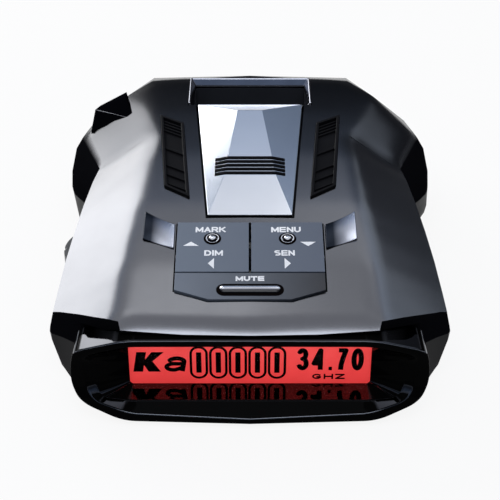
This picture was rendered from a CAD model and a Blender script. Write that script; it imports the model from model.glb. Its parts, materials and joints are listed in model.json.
import json
import math

import bmesh
import bpy
import numpy as np
from mathutils import Matrix, Vector
from mathutils.kdtree import KDTree

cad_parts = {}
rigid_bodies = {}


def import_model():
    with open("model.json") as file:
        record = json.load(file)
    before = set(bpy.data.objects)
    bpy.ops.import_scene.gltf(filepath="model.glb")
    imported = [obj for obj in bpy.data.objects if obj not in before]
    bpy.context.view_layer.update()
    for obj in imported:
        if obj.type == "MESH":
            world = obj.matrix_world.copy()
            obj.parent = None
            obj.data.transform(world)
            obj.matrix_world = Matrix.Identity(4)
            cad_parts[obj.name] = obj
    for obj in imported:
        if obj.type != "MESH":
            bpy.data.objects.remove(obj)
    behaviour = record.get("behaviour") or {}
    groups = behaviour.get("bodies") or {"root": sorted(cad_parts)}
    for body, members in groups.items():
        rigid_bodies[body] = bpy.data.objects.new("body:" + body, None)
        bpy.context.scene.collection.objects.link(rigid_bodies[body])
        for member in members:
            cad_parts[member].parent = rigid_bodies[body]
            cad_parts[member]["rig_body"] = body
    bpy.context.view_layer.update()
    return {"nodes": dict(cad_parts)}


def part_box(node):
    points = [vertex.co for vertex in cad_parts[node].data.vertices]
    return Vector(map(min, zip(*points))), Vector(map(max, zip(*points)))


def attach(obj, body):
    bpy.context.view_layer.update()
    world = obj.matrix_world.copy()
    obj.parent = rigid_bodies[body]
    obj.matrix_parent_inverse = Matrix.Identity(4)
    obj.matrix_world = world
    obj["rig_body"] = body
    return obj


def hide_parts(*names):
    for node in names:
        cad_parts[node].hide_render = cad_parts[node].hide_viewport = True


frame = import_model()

# Lengths are in millimetres unless a comment says metres
MM = 0.001
NODES = frame["nodes"]
SCENE = bpy.context.scene

# ---- Camera, light and floor ------------------------------------------------------------------

CAMERA_TARGET = Vector((0, -20.6, 18)) * MM
CAMERA_DISTANCE = 300 * MM
CAMERA_ELEVATION = math.radians(33.5)
LENS = 92.5
LAMP_TARGET = Vector((0, 0, 20)) * MM
# Elevation in degrees and the light that comes from there
SKY = [(-90, (0.10, 0.10, 0.11)), (0, (0.08, 0.085, 0.10)), (20, (0.06, 0.065, 0.08)),
       (30, (0.05, 0.06, 0.08)), (36, (0.12, 0.16, 0.24)), (40, (0.22, 0.28, 0.40)),
       (43, (0.42, 0.49, 0.64)), (46, (0.47, 0.52, 0.63)), (49, (0.78, 0.8, 0.86)),
       (56, (0.6, 0.62, 0.68)), (64, (0.75, 0.77, 0.83)), (90, (0.6, 0.62, 0.68))]
# Half the floor's width in metres, its grey, and how much of it glows for the camera
FLOOR_REACH = 1.5
FLOOR_GREY = 0.8
FLOOR_GLOW = 0.9


def aim(obj, target):
    obj.rotation_euler = (target - obj.location).to_track_quat("-Z", "Y").to_euler()


def make_camera():
    data = bpy.data.cameras.new("camera")
    data.lens = LENS
    data.clip_start = 0.01
    cam = bpy.data.objects.new("camera", data)
    back = Vector((0, -math.cos(CAMERA_ELEVATION), math.sin(CAMERA_ELEVATION)))
    cam.location = CAMERA_TARGET + back * CAMERA_DISTANCE
    aim(cam, CAMERA_TARGET)
    SCENE.collection.objects.link(cam)
    SCENE.camera = cam


def softbox(name, azimuth, elevation, distance, width, height, radiance, colour=(1, 1, 1)):
    """A rectangular lamp that faces the object. Azimuth 0 is behind the object, 90 on its left.
    Angles are in degrees, and distance, width and height in metres."""
    data = bpy.data.lights.new(name, "AREA")
    data.shape = "RECTANGLE"
    data.size = width
    data.size_y = height
    data.energy = radiance * math.pi * width * height
    data.color = colour
    obj = bpy.data.objects.new(name, data)
    a, e = math.radians(azimuth), math.radians(elevation)
    toward = Vector((-math.sin(a) * math.cos(e), math.cos(a) * math.cos(e), math.sin(e)))
    obj.location = LAMP_TARGET + toward * distance
    aim(obj, LAMP_TARGET)
    SCENE.collection.objects.link(obj)


def make_lights():
    softbox("softbox_left", 40, 21, 0.8, 0.63, 0.46, 4.4)
    softbox("softbox_right", -42, 36, 0.8, 0.36, 0.24, 0.65, (0.82, 0.9, 1.0))
    softbox("softbox_camera_side", 176, 62, 0.7, 0.42, 0.26, 4.0, (0.88, 0.92, 1.0))
    softbox("softbox_high_left", 22, 66, 0.7, 0.3, 0.16, 1.0)
    softbox("softbox_high_right", -21, 49, 0.7, 0.26, 0.13, 0.4)


def make_world():
    """A sky that lights the object by elevation and looks white to the camera."""
    world = bpy.data.worlds.new("studio")
    SCENE.world = world
    world.use_nodes = True
    t = world.node_tree
    t.nodes.clear()
    out = t.nodes.new("ShaderNodeOutputWorld")
    coord = t.nodes.new("ShaderNodeTexCoord")
    split = t.nodes.new("ShaderNodeSeparateXYZ")
    ramp = t.nodes.new("ShaderNodeValToRGB")
    places = [(math.sin(math.radians(elevation)) + 1) / 2 for elevation, _ in SKY]
    ramp.color_ramp.elements[0].position = places[0]
    ramp.color_ramp.elements[0].color = (*SKY[0][1], 1)
    ramp.color_ramp.elements[1].position = places[-1]
    ramp.color_ramp.elements[1].color = (*SKY[-1][1], 1)
    for place, (_, colour) in list(zip(places, SKY))[1:-1]:
        ramp.color_ramp.elements.new(place).color = (*colour, 1)
    scale = t.nodes.new("ShaderNodeMapRange")
    scale.inputs["From Min"].default_value = -1
    scale.inputs["From Max"].default_value = 1
    dim = t.nodes.new("ShaderNodeBackground")
    white = t.nodes.new("ShaderNodeBackground")
    white.inputs["Color"].default_value = (1, 1, 1, 1)
    path = t.nodes.new("ShaderNodeLightPath")
    mix = t.nodes.new("ShaderNodeMixShader")
    t.links.new(coord.outputs["Generated"], split.inputs[0])
    t.links.new(split.outputs["Z"], scale.inputs["Value"])
    t.links.new(scale.outputs["Result"], ramp.inputs["Fac"])
    t.links.new(ramp.outputs["Color"], dim.inputs["Color"])
    t.links.new(path.outputs["Is Camera Ray"], mix.inputs["Fac"])
    t.links.new(dim.outputs[0], mix.inputs[1])
    t.links.new(white.outputs[0], mix.inputs[2])
    t.links.new(mix.outputs[0], out.inputs["Surface"])


def make_floor():
    """A pale floor that glows for the camera, in reflections and through glass, and takes the shadow."""
    mesh = bpy.data.meshes.new("floor")
    r = FLOOR_REACH
    mesh.from_pydata([(-r, -r, 0), (r, -r, 0), (r, r, 0), (-r, r, 0)], [], [(0, 1, 2, 3)])
    floor = bpy.data.objects.new("floor", mesh)
    SCENE.collection.objects.link(floor)
    mat = bpy.data.materials.new("floor_white")
    mat.use_nodes = True
    t = mat.node_tree
    t.nodes.clear()
    out = t.nodes.new("ShaderNodeOutputMaterial")
    diffuse = t.nodes.new("ShaderNodeBsdfDiffuse")
    diffuse.inputs["Color"].default_value = (FLOOR_GREY, FLOOR_GREY, FLOOR_GREY, 1)
    glow = t.nodes.new("ShaderNodeEmission")
    path = t.nodes.new("ShaderNodeLightPath")
    share = t.nodes.new("ShaderNodeMath")
    share.operation = "MULTIPLY"
    share.inputs[1].default_value = FLOOR_GLOW
    seen = t.nodes.new("ShaderNodeMath")
    seen.operation = "ADD"
    seen.use_clamp = True
    t.links.new(path.outputs["Is Glossy Ray"], seen.inputs[0])
    t.links.new(path.outputs["Is Transmission Ray"], seen.inputs[1])
    either = t.nodes.new("ShaderNodeMath")
    either.operation = "ADD"
    either.use_clamp = True
    t.links.new(path.outputs["Is Camera Ray"], either.inputs[0])
    t.links.new(seen.outputs[0], either.inputs[1])
    mix = t.nodes.new("ShaderNodeMixShader")
    t.links.new(either.outputs[0], share.inputs[0])
    t.links.new(share.outputs[0], mix.inputs["Fac"])
    t.links.new(diffuse.outputs[0], mix.inputs[1])
    t.links.new(glow.outputs[0], mix.inputs[2])
    t.links.new(mix.outputs[0], out.inputs["Surface"])
    floor.data.materials.append(mat)


# ---- Materials --------------------------------------------------------------------------------

# Sizes of the patches in a colour, a film and a roughness, and half the width of a film's edge
COLOUR_PATCH, FILM_PATCH, ROUGH_PATCH = 9.0, 6.0, 2.5
FILM_EDGE = 0.3
KEY_PAD_HALF = 16
TRIM_FADE = 5


class Look:
    """A Principled material whose colour, roughness and bump come from object-space noise."""

    def __init__(self, name, colour, rough, metallic=0.0, specular=0.5, vary=0.12):
        self.mat = bpy.data.materials.new(name)
        self.mat.use_nodes = True
        self.t = self.mat.node_tree
        self.bsdf = self.t.nodes["Principled BSDF"]
        self.coord = self.t.nodes.new("ShaderNodeTexCoord")
        self.height = None
        self.filmed = None
        self.set("Metallic", metallic)
        self.set("Specular IOR Level", specular)
        self.link(self.patchy(colour, vary, COLOUR_PATCH), "Base Color")
        patches = self.noise(ROUGH_PATCH)
        self.link(self.remap(patches, rough * (1 - vary), rough * (1 + vary)), "Roughness")

    def set(self, socket, value):
        self.bsdf.inputs[socket].default_value = value

    def noise(self, size, detail=3.0, stretch=(1, 1, 1), rough=0.55):
        """Noise whose features are about size across."""
        mapping = self.t.nodes.new("ShaderNodeMapping")
        mapping.inputs["Scale"].default_value = [s / (size * MM) for s in stretch]
        tex = self.t.nodes.new("ShaderNodeTexNoise")
        tex.inputs["Scale"].default_value = 1.0
        tex.inputs["Detail"].default_value = detail
        tex.inputs["Roughness"].default_value = rough
        self.t.links.new(self.coord.outputs["Object"], mapping.inputs["Vector"])
        self.t.links.new(mapping.outputs[0], tex.inputs["Vector"])
        return tex.outputs["Fac"]

    def remap(self, value, low, high, start=0.3, end=0.7):
        node = self.t.nodes.new("ShaderNodeMapRange")
        node.inputs["From Min"].default_value = start
        node.inputs["From Max"].default_value = end
        node.inputs["To Min"].default_value = low
        node.inputs["To Max"].default_value = high
        self.t.links.new(value, node.inputs["Value"])
        return node.outputs["Result"]

    def link(self, socket, name):
        self.t.links.new(socket, self.bsdf.inputs[name])
        return self

    def mix(self, factor, a, b):
        """A colour that goes from a to b; each is three numbers or a socket."""
        node = self.t.nodes.new("ShaderNodeMix")
        node.data_type = "RGBA"
        self.t.links.new(factor, node.inputs["Factor"])
        for name, colour in (("A", a), ("B", b)):
            if isinstance(colour, tuple):
                node.inputs[name].default_value = (*colour, 1)
            else:
                self.t.links.new(colour, node.inputs[name])
        return node.outputs["Result"]

    def patchy(self, colour, vary, size):
        """The colour, a little darker and lighter over patches of this size."""
        dark = tuple(c * (1 - vary) for c in colour)
        light = tuple(min(1, c * (1 + vary)) for c in colour)
        return self.mix(self.remap(self.noise(size), 0, 1), dark, light)

    def film(self, colour, low=0.3, high=0.7, fade=None, toward=(0, 0, 1), above=None, below=None,
             rear=None, vary=0.08):
        """A metallic film where the surface's normal leans toward a direction: it starts at low and is
        full at high, and fades out again between the two values of fade. It can be kept above or below a
        height, and darkens toward the rear between two places along Y (start, end, what is left)."""
        lean = self.t.nodes.new("ShaderNodeVectorMath")
        lean.operation = "DOT_PRODUCT"
        lean.inputs[1].default_value = toward
        self.t.links.new(self.coord.outputs["Normal"], lean.inputs[0])
        share = self.remap(lean.outputs["Value"], 0, 1, low, high)
        if fade:
            share = self.math("MULTIPLY", share, self.remap(lean.outputs["Value"], 1, 0, *fade))
        if above is not None:
            kept = self.along("Z", 0, 1, above - FILM_EDGE, above + FILM_EDGE)
            share = self.math("MULTIPLY", share, kept)
        if below is not None:
            kept = self.along("Z", 1, 0, below - FILM_EDGE, below + FILM_EDGE)
            share = self.math("MULTIPLY", share, kept)
        tint = share
        if rear:
            tint = self.math("MULTIPLY", share, self.along("Y", 1, rear[2], *rear[:2]))
        bare = self.bsdf.inputs["Base Color"].links[0].from_socket
        self.link(self.mix(tint, bare, self.patchy(colour, vary, FILM_PATCH)), "Base Color")
        if self.filmed is not None:
            share = self.math("MAXIMUM", share, self.filmed)
        self.filmed = share
        return self.link(share, "Metallic")

    def along(self, axis, low, high, start, end):
        """A value that goes from low to high between two places along an axis."""
        split = self.t.nodes.new("ShaderNodeSeparateXYZ")
        self.t.links.new(self.coord.outputs["Object"], split.inputs[0])
        return self.remap(split.outputs[axis], low, high, start * MM, end * MM)

    def graded(self, first, last, start, end):
        """The colour goes from first to last between two places along X."""
        return self.link(self.mix(self.along("X", 0, 1, start, end), first, last), "Base Color")

    def math(self, operation, a, b):
        node = self.t.nodes.new("ShaderNodeMath")
        node.operation = operation
        self.t.links.new(a, node.inputs[0])
        self.t.links.new(b, node.inputs[1])
        return node.outputs["Value"]

    def bump(self, size, depth, detail=2.0, stretch=(1, 1, 1)):
        """A fine relief of this size and depth."""
        node = self.t.nodes.new("ShaderNodeBump")
        node.inputs["Strength"].default_value = 1.0
        node.inputs["Distance"].default_value = depth * MM
        self.t.links.new(self.noise(size, detail, stretch), node.inputs["Height"])
        if self.height is not None:
            self.t.links.new(self.height, node.inputs["Normal"])
        self.height = node.outputs["Normal"]
        return self.link(self.height, "Normal")


def grained(name, colour, rough, grain=0.3, depth=0.0022, **kw):
    return Look(name, colour, rough, **kw).bump(grain, depth)


def glossy(name, colour, rough=0.08, **kw):
    look = Look(name, colour, rough, **kw)
    return look.bump(9.0, 0.002, 1.0)


def metal(name, colour, rough, stretch=(1, 1, 1), **kw):
    look = Look(name, colour, rough, metallic=1.0, **kw)
    return look.bump(0.12, 0.002, 2.0, stretch)


def shell_looks(add):
    shell = grained("shell_upper", (0.004, 0.004, 0.005), 0.21, specular=0.0, vary=0.03)
    shell.film((0.17, 0.173, 0.184), 0.6, 0.74, rear=(-20, 32, 0.17), vary=0.02)
    add(shell, "upper_shell")
    add(grained("shell_lower", (0.005, 0.005, 0.006), 0.36, specular=0.1), "lower_shell")
    inner = grained("inner_black", (0.006, 0.006, 0.007), 0.4, specular=0.05)
    add(inner, "keypad_frame", "vent_grille_left", "vent_grille_right", "volume_switch", "headphone_jack")
    add(grained("label_silver", (0.32, 0.32, 0.34), 0.4), "label_plate")


def display_looks(add):
    hood = glossy("hood_black", (0.002, 0.002, 0.002), 0.05, specular=0.006)
    hood.film((0.055, 0.055, 0.055), 0.985, 0.995)
    hood.film((0.07, 0.072, 0.08), 0.87, 0.9, (0.955, 0.97))
    hood.film((0.9, 0.92, 0.96), 0.5, 0.56, (0.68, 0.74), below=4.2)
    hood.film((0.9, 0.92, 0.96), 0.5, 0.56, (0.68, 0.74), above=17)
    hood.film((0.1, 0.105, 0.12), 0.5, 0.56, (0.64, 0.7))
    add(hood, "display_bezel")
    add(grained("carrier_white", (0.7, 0.7, 0.68), 0.5), "display_carrier")
    add(glossy("flex_amber", (0.5, 0.16, 0.03), 0.25), "display_flex")
    lit = Look("display_red", (0.62, 0.04, 0.04), 0.5)
    glow = lit.patchy((0.69, 0.047, 0.047), 0.04, 14.0)
    lit.link(glow, "Base Color").link(glow, "Emission Color")
    lit.set("Emission Strength", 0.92)
    add(lit, "display_panel")
    glass = Look("window_red", (1.0, 0.9, 0.9), 0.03, specular=0.1)
    glass.set("Transmission Weight", 1.0)
    glass.set("IOR", 1.06)
    add(glass, "display_window")


def button_looks(add):
    silver = Look("button_silver", (0.9, 0.925, 0.96), 0.15, metallic=1.0, vary=0.02)
    add(silver.bump(0.12, 0.0015), "release_button")
    grip = grained("grip_black", (0.003, 0.003, 0.004), 0.4, specular=0.04)
    add(grip, "button_grips", "speaker_gasket")
    slot = glossy("slot_chrome", (0.004, 0.004, 0.005), 0.12, specular=0.1)
    add(slot.film((0.42, 0.43, 0.48), 0.3, 0.6, toward=(-0.75, -0.45, 0.5)), "mount_slot_trim")
    add(grained("trough_black", (0.03, 0.032, 0.038), 0.35, specular=0.3), "mount_socket")


def key_looks(add):
    slate = grained("key_slate", (0.10, 0.12, 0.155), 0.34, 0.2, 0.0015)
    slate.graded((0.135, 0.165, 0.21), (0.095, 0.115, 0.155), -KEY_PAD_HALF, KEY_PAD_HALF)
    add(slate, "key_left", "key_right")
    dark = grained("key_dark", (0.06, 0.07, 0.09), 0.34, 0.2, 0.0015)
    dark.graded((0.14, 0.165, 0.205), (0.014, 0.016, 0.022), -KEY_PAD_HALF, KEY_PAD_HALF)
    add(dark, "key_mute")
    nub = glossy("nub_chrome", (0.004, 0.004, 0.005), 0.12, specular=0.1)
    nub.film((0.85, 0.87, 0.92), 0.8, 0.9, toward=(0, -0.1, 0.99))
    add(nub, "key_nub_left", "key_nub_right")
    bar = glossy("chrome_bar", (0.003, 0.003, 0.004), 0.12, specular=0.3)
    add(bar.film((0.85, 0.87, 0.93), 0.6, 0.8, toward=(0, 0.42, 0.91)), "mute_bar")
    for side, dark_end in (("left", -22), ("right", 18.5)):
        trim = metal("trim_gloss_" + side, (0.1, 0.1, 0.1), 0.2)
        trim.graded((0.02, 0.025, 0.035), (0.68, 0.71, 0.8), dark_end, dark_end + TRIM_FADE)
        add(trim, "key_trim_" + side)


def socket_looks(add):
    add(grained("rocker_slate", (0.03, 0.033, 0.036), 0.35), "volume_rocker")
    block = glossy("socket_black", (0.002, 0.002, 0.003), 0.12, specular=0.0)
    block.film((0.8, 0.8, 0.82), 0.992, 0.997, toward=(-0.242, -0.545, 0.802))
    add(block, "power_jack_housing")
    add(metal("pin_brass", (0.75, 0.55, 0.2), 0.2), "power_pin")
    add(glossy("window_dark", (0.02, 0.003, 0.004), 0.06), "laser_window")


def inside_looks(add):
    steel = metal("steel", (0.5, 0.5, 0.52), 0.3, (1, 6, 6))
    add(steel, "release_pivot_pin", "release_spring", "key_axle_left", "key_axle_right", "case_screws",
        "keypad_screws")
    add(glossy("board_green", (0.01, 0.09, 0.03), 0.3), "main_board", "keypad_board")
    add(grained("membrane_grey", (0.55, 0.55, 0.5), 0.6), "keypad_membrane")
    add(grained("speaker_frame", (0.05, 0.05, 0.055), 0.4), "speaker")
    add(metal("tin", (0.6, 0.6, 0.62), 0.25), "usb_port", "rf_shield")
    add(metal("horn_cast", (0.5, 0.5, 0.52), 0.5), "antenna_horn")
    add(grained("ceramic", (0.6, 0.57, 0.45), 0.5), "gps_antenna")
    add(glossy("sensor_black", (0.02, 0.02, 0.03), 0.15), "laser_sensor")


def make_looks():
    """The material of each CAD node, and the two inks."""
    looks = {}

    def add(look, *nodes):
        for node in nodes:
            looks[node] = look.mat

    for part in (shell_looks, display_looks, button_looks, key_looks, socket_looks, inside_looks):
        part(add)
    add(grained("ink_white", (0.93, 0.94, 0.96), 0.5, 0.1, 0.002), "ink_white")
    add(grained("ink_black", (0.004, 0.003, 0.003), 0.6, 0.1, 0.002, specular=0.0), "ink_black")
    return looks


# ---- Mesh helpers -----------------------------------------------------------------------------


def add_piece(name, mesh, body, material, replaces=()):
    obj = bpy.data.objects.new(name, mesh)
    SCENE.collection.objects.link(obj)
    mesh.materials.clear()
    mesh.materials.append(material)
    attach(obj, body)
    if replaces:
        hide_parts(*replaces)
    return obj


def smooth_faces(mesh):
    mesh.polygons.foreach_set("use_smooth", [True] * len(mesh.polygons))


def evaluated(obj):
    """A new mesh of obj with its modifiers applied."""
    bpy.context.view_layer.update()
    deps = bpy.context.evaluated_depsgraph_get()
    return bpy.data.meshes.new_from_object(obj.evaluated_get(deps), depsgraph=deps)


WELD = 2e-6
FLAT_ANGLE = math.radians(0.6)
DIVISIONS = 6
EVEN_NORMALS = ("WEIGHTED_NORMAL", {"keep_sharp": True, "weight": 50})


def worked(mesh, *modifiers):
    """The mesh after the modifiers (type, {settings}) in turn."""
    obj = bpy.data.objects.new("work", mesh)
    SCENE.collection.objects.link(obj)
    for i, (kind, settings) in enumerate(modifiers):
        mod = obj.modifiers.new(f"m{i}", kind)
        for key, value in settings.items():
            setattr(mod, key, value)
    made = evaluated(obj)
    bpy.data.objects.remove(obj)
    return made


def rounded(node, width, segments=3, angle=25):
    """A bevelled copy of a CAD node's mesh, welded and with its flat triangles joined."""
    mesh = NODES[node].data.copy()
    bm = bmesh.new()
    bm.from_mesh(mesh)
    bmesh.ops.remove_doubles(bm, verts=bm.verts, dist=WELD)
    bmesh.ops.dissolve_limit(bm, angle_limit=FLAT_ANGLE, verts=bm.verts, edges=bm.edges)
    bm.to_mesh(mesh)
    bm.free()
    bevel = {"width": width * MM, "segments": segments, "limit_method": "ANGLE",
             "angle_limit": math.radians(angle), "harden_normals": False, "use_clamp_overlap": True,
             "miter_outer": "MITER_ARC"}
    return worked(mesh, ("BEVEL", bevel), EVEN_NORMALS)


def moulded(node, reach, step, gentle=34):
    """A finely divided copy of a CAD node's mesh. Each corner's normal is the mean over the faces within
    reach whose normals lie inside the gentle angle of its own, so that slight creases blend and the others
    stay crisp."""
    mesh = NODES[node].data.copy()
    bm = bmesh.new()
    bm.from_mesh(mesh)
    bmesh.ops.remove_doubles(bm, verts=bm.verts, dist=WELD)
    bmesh.ops.triangulate(bm, faces=bm.faces)
    for _ in range(DIVISIONS):
        long = [e for e in bm.edges if e.calc_length() > step * MM]
        bmesh.ops.subdivide_edges(bm, edges=long, cuts=1)
        bmesh.ops.triangulate(bm, faces=bm.faces)
    bm.to_mesh(mesh)
    bm.free()
    smooth_faces(mesh)
    centres = np.array([p.center for p in mesh.polygons])
    areas = np.array([p.area for p in mesh.polygons])
    facing = np.array([p.normal for p in mesh.polygons])
    tree = KDTree(len(centres))
    for i, centre in enumerate(centres):
        tree.insert(centre, i)
    tree.balance()
    least = math.cos(math.radians(gentle))
    fans = [[] for _ in mesh.vertices]
    for p in mesh.polygons:
        for v in p.vertices:
            fans[v].append(p.index)
    turned = {}
    for v, fan in zip(mesh.vertices, fans):
        found = tree.find_range(v.co, reach * MM)
        index = np.array([f[1] for f in found])
        away = np.array([f[2] for f in found]) / (reach * MM)
        pull = facing[index] * (areas[index] * (1 - away ** 2))[:, None]
        means = ((facing[fan] @ facing[index].T) > least) @ pull + facing[fan] * 1e-12
        means /= np.linalg.norm(means, axis=1)[:, None]
        for face, mean in zip(fan, means):
            turned[face, v.index] = mean
    normals = [turned[p.index, v] for p in mesh.polygons for v in p.vertices]
    mesh.normals_split_custom_set(normals)
    return mesh


# ---- Hood -------------------------------------------------------------------------------------

# Half contours of the hood in millimetres, from the top middle round to the bottom middle
HOOD_BACK = [(0, -50.4, 18.8), (26, -50.4, 20), (37, -50.4, 17.6), (37.9, -50.4, 13.7),
             (37.9, -50.4, 7.6), (35.3, -50.4, 4), (27.3, -50.4, 1.6), (0, -50.4, 1.6)]
HOOD_FRONT = [(0, -60, 21.7), (26, -60, 21.6), (37.2, -58, 17.2), (38.1, -57.7, 13.7), (38.3, -58, 8.8),
              (36.3, -60, 5), (27.3, -62.1, 1.45), (0, -63, 1.3)]
HOOD_RIM = [(0, -60.2, 20.2), (25.5, -60.2, 20.1), (34.6, -58.5, 16.6), (35.7, -58, 14), (35.2, -58.2, 9),
            (33.3, -60.4, 5.8), (25.5, -62.1, 3.6), (0, -62.8, 2.6)]
HOOD_THROAT = [(0, -54, 15.3), (26, -54, 15.3), (26, -54, 13.8), (26, -54, 11.8), (26, -54, 7.5),
               (26, -54, 5.9), (25.3, -54, 5.3), (0, -54, 5.3)]
FLOOR_EDGE_Y = -59.4
FLOOR_Z = 5.2
# How far toward the rim the funnel's bend may lie, and the contour point from which it is the level floor
DEEPEST_SHARE = 0.8
FLOOR_FROM = 6
# Corner radii of the outside, the lip, the funnel's middle and the window
OUTER_CORNER, LIP_CORNER, MIDDLE_CORNER, WINDOW_CORNER = 3, 2.4, 1.4, 0.3
# Widths of the rounding round the lip's outer edge, its inner edge and the funnel's bend
OUTER_EASE, INNER_EASE, BEND_EASE = 0.55, 0.35, 0.3
# The pocket behind the window: how far it is grown, and where along Y
POCKET = [(1.05, -54), (1.05, -51), (1.62, -51), (1.62, -50.4)]


def bend(a, b, c, reach, steps):
    """Points round the corner b of a line a-b-c, starting and ending reach from it."""
    p = b + (a - b).normalized() * min(reach, 0.45 * (a - b).length)
    q = b + (c - b).normalized() * min(reach, 0.45 * (c - b).length)
    return [p.lerp(b, i / steps).lerp(b.lerp(q, i / steps), i / steps) for i in range(steps + 1)]


def contour(half, reach, steps=6):
    """A closed ring of points from half a contour, mirrored across X, with its corners rounded."""
    points = [Vector(p) for p in half]
    side = [points[0]]
    for a, b, c in zip(points, points[1:], points[2:]):
        side += bend(a, b, c, reach, steps)
    side.append(points[-1])
    return side + [Vector((-p.x, p.y, p.z)) for p in reversed(side[1:-1])]


def eased(before, ring, after, reach, steps=3):
    """The rings that carry a surface round the corner at ring, from the ring before it to the one after."""
    return [list(r) for r in zip(*[bend(a, b, c, reach, steps) for a, b, c in zip(before, ring, after)])]


def ring_mesh(rings, closed):
    """A surface through rings of points; closed joins the last ring to the first."""
    n, m = len(rings[0]), len(rings)
    faces = [(j * n + i, j * n + (i + 1) % n, (j + 1) % m * n + (i + 1) % n, (j + 1) % m * n + i)
             for j in range(m if closed else m - 1) for i in range(n)]
    mesh = bpy.data.meshes.new("rings")
    mesh.from_pydata([p for ring in rings for p in ring], [], faces)
    bm = bmesh.new()
    bm.from_mesh(mesh)
    bmesh.ops.remove_doubles(bm, verts=bm.verts, dist=1e-4)
    bmesh.ops.recalc_face_normals(bm, faces=bm.faces)
    bm.to_mesh(mesh)
    bm.free()
    return mesh


def hood_mesh():
    """The hood: an outer shell, a rounded lip and a funnel that runs in to the display window."""
    throat = [Vector(p) for p in HOOD_THROAT]
    rim = [Vector(p) for p in HOOD_RIM]
    middle = []
    for i, (a, b) in enumerate(zip(throat, rim)):
        point = a.lerp(b, min((a.y - FLOOR_EDGE_Y) / (a.y - b.y), DEEPEST_SHARE))
        if i >= FLOOR_FROM:
            point.z = FLOOR_Z
        middle.append(point)
    back, front = contour(HOOD_BACK, OUTER_CORNER), contour(HOOD_FRONT, OUTER_CORNER)
    lip, inner = contour(rim, LIP_CORNER), contour(middle, MIDDLE_CORNER)
    window = contour(throat, WINDOW_CORNER)

    def pocket(grow, y):
        """The window's outline grown by grow, at y."""
        return [Vector((p.x + math.copysign(grow, p.x) if abs(p.x) > 20 else p.x, y,
                        p.z + grow if p.z > 10 else p.z - grow)) for p in window]

    rings = [back] + eased(back, front, lip, OUTER_EASE) + eased(front, lip, inner, INNER_EASE)
    rings += eased(lip, inner, window, BEND_EASE) + [window] + [pocket(*step) for step in POCKET]
    mesh = ring_mesh(rings, closed=True)
    mesh.transform(Matrix.Scale(MM, 4))
    smooth_faces(mesh)
    mesh.set_sharp_from_angle(angle=math.radians(38))
    return worked(mesh, EVEN_NORMALS)


# ---- Small bright parts -----------------------------------------------------------------------


def local_centre(node, matrix):
    """The middle of a CAD node in a face's frame."""
    lo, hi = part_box(node)
    return matrix.inverted() @ ((Vector(lo) + Vector(hi)) / 2) / MM


# Radius and height over the key: a rim, a groove and a dome
NUB_PROFILE = [(1.5, -0.5), (1.5, 0.1), (1.44, 0.19), (1.32, 0.2), (1.22, 0.1), (1.15, -0.2),
               (1.06, -0.2), (1.0, 0.08), (0.86, 0.28), (0.62, 0.43), (0.32, 0.51), (0.01, 0.53)]
NUB_STEPS = 32


def nub_mesh(node, key):
    """A key's nub, turned from its profile."""
    matrix = top_frame(key)
    c = local_centre(node, matrix)
    angles = [2 * math.pi * k / NUB_STEPS for k in range(NUB_STEPS)]
    turn = [(math.cos(a), math.sin(a)) for a in angles]
    rings = [[Vector((c.x + r * x, c.y + r * y, z)) for x, y in turn] for r, z in NUB_PROFILE]
    mesh = placed(ring_mesh(rings, closed=False), matrix)
    smooth_faces(mesh)
    mesh.set_sharp_from_angle(angle=math.radians(50))
    return mesh


def stadium(cx, cy, half, r, z, steps=10):
    """A ring of points round a bar that lies along X."""
    angles = [math.pi * k / steps for k in range(steps + 1)]
    turn = [(math.sin(a) * r, math.cos(a) * r) for a in angles]
    right = [Vector((cx + half - r + x, cy + y, z)) for x, y in turn]
    left = [Vector((cx - half + r - x, cy - y, z)) for x, y in turn]
    return right + left


# The mute bar's half length and radius, its place across the key, and how far it rises from its base
BAR_HALF = 6.75
BAR_R = 1.22
BAR_SHIFT = 0.3
BAR_BASE = -0.45
BAR_RISE = 0.72
BAR_RINGS = 8
# Radii of the dark recesses round the bar and the nubs, and how far the bar's recess sits lower
RECESS_R = 1.7
RECESS_DROP = 0.1
NUB_RECESS_R = 1.95
NUB_RECESS_INNER = 1.4


def bar_mesh(matrix, c):
    """A half-round bar along X."""
    rings = []
    for k in range(BAR_RINGS):
        a = math.pi / 2 * k / (BAR_RINGS - 1)
        r = max(BAR_R * math.cos(a), 0.02)
        level = BAR_BASE + BAR_RISE * math.sin(a)
        rings.append(stadium(c.x, c.y + BAR_SHIFT, BAR_HALF - BAR_R + r, r, level))
    mesh = placed(ring_mesh(rings, closed=False), matrix)
    smooth_faces(mesh)
    return mesh


DISH_CUTS = 24


def dished(node, width, depth):
    """A bevelled copy of a side trim whose top is hollowed along X."""
    matrix = top_frame(node)
    back = matrix.inverted()
    mesh = rounded(node, width, angle=30)
    bm = bmesh.new()
    bm.from_mesh(mesh)
    xs = [v.co.x for v in bm.verts]
    x0, x1 = min(xs), max(xs)
    for i in range(1, DISH_CUTS):
        cut = Vector((x0 + (x1 - x0) * i / DISH_CUTS, 0, 0))
        geometry = bm.verts[:] + bm.edges[:] + bm.faces[:]
        bmesh.ops.bisect_plane(bm, geom=geometry, plane_co=cut, plane_no=(1, 0, 0))
    for v in bm.verts:
        place = back @ v.co / MM
        u = (v.co.x - x0) / (x1 - x0)
        share = min(1, max(0, (place.z + 0.6) / 0.4))
        v.co -= matrix.to_3x3() @ Vector((0, 0, 4 * depth * u * (1 - u) * share * MM))
    bm.to_mesh(mesh)
    bm.free()
    smooth_faces(mesh)
    mesh.set_sharp_from_angle(angle=math.radians(40))
    return mesh


# ---- Display marks and key marks --------------------------------------------------------------


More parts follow.
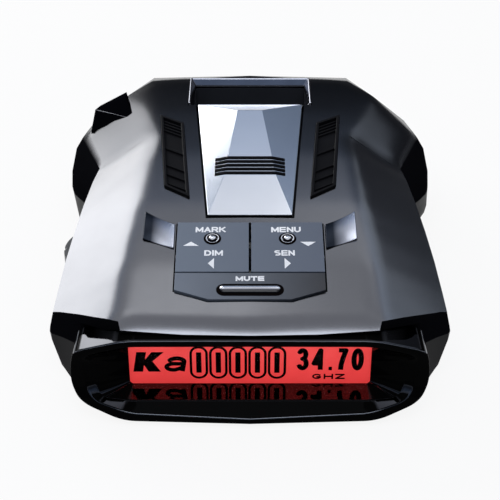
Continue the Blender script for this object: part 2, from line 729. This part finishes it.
def top_frame(node):
    """A matrix on the largest flat upward face of a node: X across, Y up along the face, and the origin
    at the middle of its lower edge."""
    mesh = NODES[node].data
    sums = {}
    for p in mesh.polygons:
        if p.normal.z > 0.8:
            key = tuple(round(c, 2) for c in p.normal)
            sums.setdefault(key, []).append(p)
    faces = max(sums.values(), key=lambda ps: sum(p.area for p in ps))
    normal = sum((p.normal * p.area for p in faces), Vector()).normalized()
    x = Vector((1, 0, 0))
    y = normal.cross(x).normalized()
    level = sum(mesh.vertices[faces[0].vertices[0]].co[i] * normal[i] for i in range(3))
    corners = [mesh.vertices[v].co for p in faces for v in p.vertices]
    low = min(c.dot(y) for c in corners)
    origin = normal * level + y * low
    m = Matrix((x, y, normal)).transposed().to_4x4()
    m.translation = origin
    return m


def thickened(mesh, depth):
    """Gives a flat mesh in the XY plane a thickness."""
    bm = bmesh.new()
    bm.from_mesh(mesh)
    bmesh.ops.remove_doubles(bm, verts=bm.verts, dist=1e-4)
    made = bmesh.ops.extrude_face_region(bm, geom=bm.faces[:])
    for v in made["geom"]:
        if isinstance(v, bmesh.types.BMVert):
            v.co.z += depth
    bmesh.ops.recalc_face_normals(bm, faces=bm.faces)
    bm.to_mesh(mesh)
    bm.free()
    return mesh


# A mark's height over its surface and its thickness, and the step between overlapping outlines
LIFT = 0.01
MARK_DEPTH = 0.03
RECESS_DEPTH = 0.02
LAYER = 0.0006


def flat_mesh(outlines, depth=MARK_DEPTH):
    """Closed outlines, each a list of (x, y), as one thin mesh; each lies a hair above the one before."""
    mesh = bpy.data.meshes.new("shape")
    bm = bmesh.new()
    for i, outline in enumerate(outlines):
        bm.faces.new([bm.verts.new((x, y, LIFT + LAYER * i)) for x, y in outline])
    bm.to_mesh(mesh)
    bm.free()
    return thickened(mesh, depth)


def ring_quads(outer, inner):
    n = len(outer)
    return [[outer[i], outer[(i + 1) % n], inner[(i + 1) % n], inner[i]] for i in range(n)]


def placed(mesh, matrix):
    """Turns millimetres in a face's frame into metres in the row frame."""
    mesh.transform(matrix @ Matrix.Scale(MM, 4))
    return mesh


def pill(cx, cy, half_w, half_h, grow=0.0, steps=10):
    """A rounded bar's outline."""
    r = half_w + grow
    top, bottom = cy + half_h - half_w, cy - half_h + half_w
    turn = [(math.cos(math.pi * k / steps) * r, math.sin(math.pi * k / steps) * r) for k in range(steps + 1)]
    return [(cx + x, top + y) for x, y in turn] + [(cx - x, bottom - y) for x, y in turn]


def beyond(a, b, reach):
    """The point that lies reach past b on the line from a."""
    length = math.hypot(b[0] - a[0], b[1] - a[1])
    return (b[0] + (b[0] - a[0]) / length * reach, b[1] + (b[1] - a[1]) / length * reach)


def stroke(points, width, closed=False, ends=0.0):
    """Outlines that draw a line of this width through the points, with round joints. Its two ends reach
    on by ends."""
    half = width / 2
    if ends:
        first, last = beyond(points[1], points[0], ends), beyond(points[-2], points[-1], ends)
        points = [first] + points[1:-1] + [last]
    line = points + points[:1] if closed else points
    shapes = []
    for (x0, y0), (x1, y1) in zip(line, line[1:]):
        length = math.hypot(x1 - x0, y1 - y0)
        ox, oy = -(y1 - y0) / length * half, (x1 - x0) / length * half
        shapes.append([(x0 + ox, y0 + oy), (x0 - ox, y0 - oy), (x1 - ox, y1 - oy), (x1 + ox, y1 + oy)])
    for x, y in line[1:] if closed else line[1:-1]:
        turns = [k * math.pi / 6 for k in range(12)]
        shapes.append([(x + half * math.cos(t), y + half * math.sin(t)) for t in turns])
    return shapes


def arc(cx, cy, rx, ry, start, end, steps=14):
    """Points along an arc of an ellipse, between two angles in degrees."""
    turns = [math.radians(start + (end - start) * k / steps) for k in range(steps + 1)]
    return [(cx + rx * math.cos(t), cy + ry * math.sin(t)) for t in turns]


def fitted(points, box, inset, slant=0.0):
    """Points of a unit square moved into box (x0, x1, y0, y1), inset from its edges and slanted."""
    x0, x1, y0, y1 = box
    w, h = x1 - x0 - 2 * inset, y1 - y0 - 2 * inset
    return [(x0 + inset + x * w + (y - 0.5) * slant * h, y0 + inset + y * h) for x, y in points]


THREE = arc(0.47, 0.765, 0.45, 0.235, 165, -90) + arc(0.48, 0.265, 0.52, 0.265, 90, -165)[1:]
FOUR = [(0.72, -0.08), (0.72, 1), (0, 0.27), (1.02, 0.27)]
SEVEN = [(0, 1), (1, 1), (0.63, 0.56), (0.42, 0.22), (0.36, -0.08)]
NOUGHT = arc(0.5, 0.5, 0.5, 0.5, 0, 345, 23)
LETTERS = {
    "A": [[(0, 0), (0.5, 1), (1, 0)], [(0.2, 0.32), (0.8, 0.32)]],
    "D": [[(0, 0), (0, 1), (0.45, 1)] + arc(0.45, 0.5, 0.55, 0.5, 80, -80, 8) + [(0.45, 0), (0, 0)]],
    "E": [[(0.95, 1), (0, 1), (0, 0), (0.95, 0)], [(0, 0.5), (0.9, 0.5)]],
    "G": [arc(0.5, 0.5, 0.5, 0.5, 45, 320, 12) + [(0.95, 0.42), (0.55, 0.42)]],
    "H": [[(0, 0), (0, 1)], [(1, 0), (1, 1)], [(0, 0.5), (1, 0.5)]],
    "I": [[(0, 0), (0, 1)]],
    "K": [[(0, 0), (0, 1)], [(0.95, 1), (0, 0.36)], [(0.32, 0.6), (1, 0)]],
    "M": [[(0, 0), (0, 1), (0.5, 0.15), (1, 1), (1, 0)]],
    "N": [[(0, 0), (0, 1), (1, 0), (1, 1)]],
    "R": [[(0, 0), (0, 1), (0.6, 1)] + arc(0.68, 0.73, 0.3, 0.27, 75, -75, 6) + [(0.6, 0.46), (0, 0.46)],
          [(0.55, 0.46), (1, 0)]],
    "S": [arc(0.5, 0.77, 0.5, 0.23, 62, 270, 10) + arc(0.5, 0.27, 0.5, 0.27, 90, -118, 10)],
    "T": [[(0, 1), (1, 1)], [(0.5, 1), (0.5, 0)]],
    "U": [[(0, 1), (0, 0.4)] + arc(0.5, 0.4, 0.5, 0.4, 195, 345, 8) + [(1, 0.4), (1, 1)]],
    "Z": [[(0, 1), (1, 1), (0, 0), (1, 0)]]}
LETTER_WIDTH = {"I": 0.0, "M": 1.15}
LETTER_GAP = 0.45
LABEL_STROKE = 0.4


def lettered(word, box, width):
    """Outlines of a word whose letters are drawn with a line of this width, in box (x0, x1, y0, y1)."""
    spans = [LETTER_WIDTH.get(c, 0.95) for c in word]
    x0, x1, y0, y1 = box
    unit = (x1 - x0 - width) / (sum(spans) + LETTER_GAP * (len(word) - 1))
    shapes = []
    x = x0 + width / 2
    for letter, span in zip(word, spans):
        for line in LETTERS[letter]:
            place = [(x + u * span * unit, y0 + width / 2 + v * (y1 - y0 - width)) for u, v in line]
            shapes += stroke(place, width, ends=width / 2)
        x += (span + LETTER_GAP) * unit
    return shapes


def mark_keys(looks):
    """White words and arrows on the keys."""
    left, right, mute = top_frame("key_left"), top_frame("key_right"), top_frame("key_mute")
    words = [("mark_word", "MARK", left, "rocker_left", (-12.1, -5.4, 12.45, 14.2)),
             ("dim_word", "DIM", left, "rocker_left", (-10.0, -5.9, 4.9, 6.65)),
             ("menu_word", "MENU", right, "rocker_right", (4.7, 11.3, 12.45, 14.2)),
             ("sen_word", "SEN", right, "rocker_right", (5.3, 9.8, 4.9, 6.65)),
             ("mute_word", "MUTE", mute, "mute", (-3.1, 3.1, 5.2, 6.6))]
    for name, word, matrix, body, box in words:
        mesh = placed(flat_mesh(lettered(word, box, LABEL_STROKE)), matrix)
        add_piece(name, mesh, body, looks["ink_white"])
    arrows = [("arrow_up", left, "rocker_left", [(-14.7, 8.05), (-11.3, 8.05), (-13.0, 9.4)]),
              ("arrow_left", left, "rocker_left", [(-7.8, 0.9), (-7.8, 4.2), (-9.15, 2.55)]),
              ("arrow_down", right, "rocker_right", [(11.1, 9.35), (12.8, 8.0), (14.5, 9.35)]),
              ("arrow_right", right, "rocker_right", [(7.5, 0.9), (8.85, 2.55), (7.5, 4.2)])]
    for name, matrix, body, points in arrows:
        mesh = placed(flat_mesh([points]), matrix)
        add_piece(name, mesh, body, looks["ink_white"])


BIG_K = [(0, 0), (0.13, 1), (0.45, 1), (0.4, 0.62), (0.62, 1), (1.02, 1), (0.64, 0.53), (0.9, 0),
         (0.5, 0), (0.36, 0.34), (0.32, 0)]
A_HOOK = arc(0.5, 0.7, 0.4, 0.3, 165, 10) + [(0.87, -0.12)]
A_BOWL = [(0.9, 0.53)] + arc(0.38, 0.27, 0.38, 0.27, 80, 290) + [(0.86, 0.22)]
DIGIT_LOW, DIGIT_HIGH, DIGIT_WIDTH = 2.83, 8.87, 1.12
DIGITS = [(THREE, 10.05, 12.7), (FOUR, 13.25, 16.3), (SEVEN, 18.5, 21.15), (NOUGHT, 21.85, 24.55)]
DIGIT_POINT = [(17, DIGIT_LOW), (17.75, DIGIT_LOW), (17.75, 3.8), (17, 3.8)]
BIG_K_BOX = (-25.3, -18.65, 2.45, 7.8)
SMALL_A_BOX = (-18.45, -13.4, 2.45, 6.6)
SMALL_A_INSET, SMALL_A_SLANT = 0.5, 0.12
HOOK_WIDTH, BOWL_WIDTH = 1.1, 1.0
UNIT_BOX = (13.5, 20.6, 0.4, 1.85)
UNIT_STROKE = 0.38
# The signal pills: how many, the first one's place and the step, height, half sizes and ring width
PILLS = 5
PILL_X, PILL_STEP, PILL_Y = -11.05, 4.22, 4.95
PILL_HALF_W, PILL_HALF_H, PILL_RING = 2.0, 4.45, 0.58
CORE_HALF, CORE_LOW, CORE_HIGH = 0.58, 2.17, 7.74
WINDOW_LOW = HOOD_THROAT[-1][2]


def mark_display(looks):
    """Black segments on the lit panel; heights are measured from the window's lower edge."""
    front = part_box("display_panel")[0][1]
    m = Matrix(((1, 0, 0, 0), (0, 0, -1, front), (0, 1, 0, WINDOW_LOW * MM), (0, 0, 0, 1)))

    def mark(name, shapes):
        add_piece(name, placed(flat_mesh(shapes), m), "chassis", looks["ink_black"])

    hook = fitted(A_HOOK, SMALL_A_BOX, SMALL_A_INSET, SMALL_A_SLANT)
    bowl = fitted(A_BOWL, SMALL_A_BOX, SMALL_A_INSET, SMALL_A_SLANT)
    mark("band_word", [fitted(BIG_K, BIG_K_BOX, 0)] + stroke(hook, HOOK_WIDTH) + stroke(bowl, BOWL_WIDTH))
    shapes = [DIGIT_POINT]
    for digit, x0, x1 in DIGITS:
        line = fitted(digit, (x0, x1, DIGIT_LOW, DIGIT_HIGH), DIGIT_WIDTH / 2)
        shapes += stroke(line, DIGIT_WIDTH, closed=digit is NOUGHT)
    mark("frequency_word", shapes)
    mark("unit_word", lettered("GHZ", UNIT_BOX, UNIT_STROKE))
    shapes = []
    for i in range(PILLS):
        cx = PILL_X + PILL_STEP * i
        outer = pill(cx, PILL_Y, PILL_HALF_W, PILL_HALF_H)
        shapes += ring_quads(outer, pill(cx, PILL_Y, PILL_HALF_W, PILL_HALF_H, -PILL_RING))
        x0, x1 = cx - CORE_HALF, cx + CORE_HALF
        shapes.append([(x0, CORE_LOW), (x1, CORE_LOW), (x1, CORE_HIGH), (x0, CORE_HIGH)])
    mark("signal_bars", shapes)


def mark_recesses(looks):
    """The dark recesses round the nubs and the mute bar."""
    def mark(name, outer, inner, matrix, body):
        mesh = placed(flat_mesh(ring_quads(outer, inner), RECESS_DEPTH), matrix)
        add_piece(name, mesh, body, looks["ink_black"])

    for side in ("left", "right"):
        matrix = top_frame("key_" + side)
        nub = local_centre("key_nub_" + side, matrix)
        outer, inner = [arc(nub.x, nub.y, r, r, 0, 345, 23) for r in (NUB_RECESS_R, NUB_RECESS_INNER)]
        mark("nub_recess_" + side, outer, inner, matrix, "rocker_" + side)
    matrix = top_frame("key_mute")
    bar = local_centre("mute_bar", matrix)
    outer, inner = [[tuple(p.xy) for p in stadium(bar.x, bar.y - drop, BAR_HALF + r - BAR_R, r, 0)]
                    for r, drop in ((RECESS_R, RECESS_DROP), (BAR_R * 0.8, 0))]
    mark("mute_recess", outer, inner, matrix, "mute")


# ---- Build ------------------------------------------------------------------------------------

SCENE.view_settings.view_transform = "Standard"
make_camera()
make_lights()
make_world()
make_floor()
LOOKS = make_looks()

BODY_OF = {n: o["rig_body"] for n, o in NODES.items()}

for name, obj in NODES.items():
    obj.data.materials.clear()
    obj.data.materials.append(LOOKS[name])


def stand_in(node, mesh):
    return add_piece(node + "_skin", mesh, BODY_OF[node], LOOKS[node], [node])


# Reach of the blended creases and length of the mesh's edges
stand_in("upper_shell", moulded("upper_shell", 4.2, 2.0))
stand_in("lower_shell", moulded("lower_shell", 3.0, 3.0))
stand_in("display_bezel", hood_mesh())
# Width of the rounding, and the least bend in degrees that is rounded
ROUNDED = {"release_button": (0.25, 5), "key_left": (0.22, 30), "key_right": (0.22, 30),
           "key_mute": (0.22, 30), "mount_slot_trim": (0.15, 20), "power_jack_housing": (0.45, 15),
           "volume_rocker": (0.25, 30), "vent_grille_left": (0.12, 30), "vent_grille_right": (0.12, 30)}
for node, (width, angle) in ROUNDED.items():
    stand_in(node, rounded(node, width, angle=angle))
for side in ("left", "right"):
    stand_in("key_trim_" + side, dished("key_trim_" + side, width=0.18, depth=0.35))
    stand_in("key_nub_" + side, nub_mesh("key_nub_" + side, "key_" + side))
mute_frame = top_frame("key_mute")
stand_in("mute_bar", bar_mesh(mute_frame, local_centre("mute_bar", mute_frame)))

mark_recesses(LOOKS)
mark_keys(LOOKS)
mark_display(LOOKS)
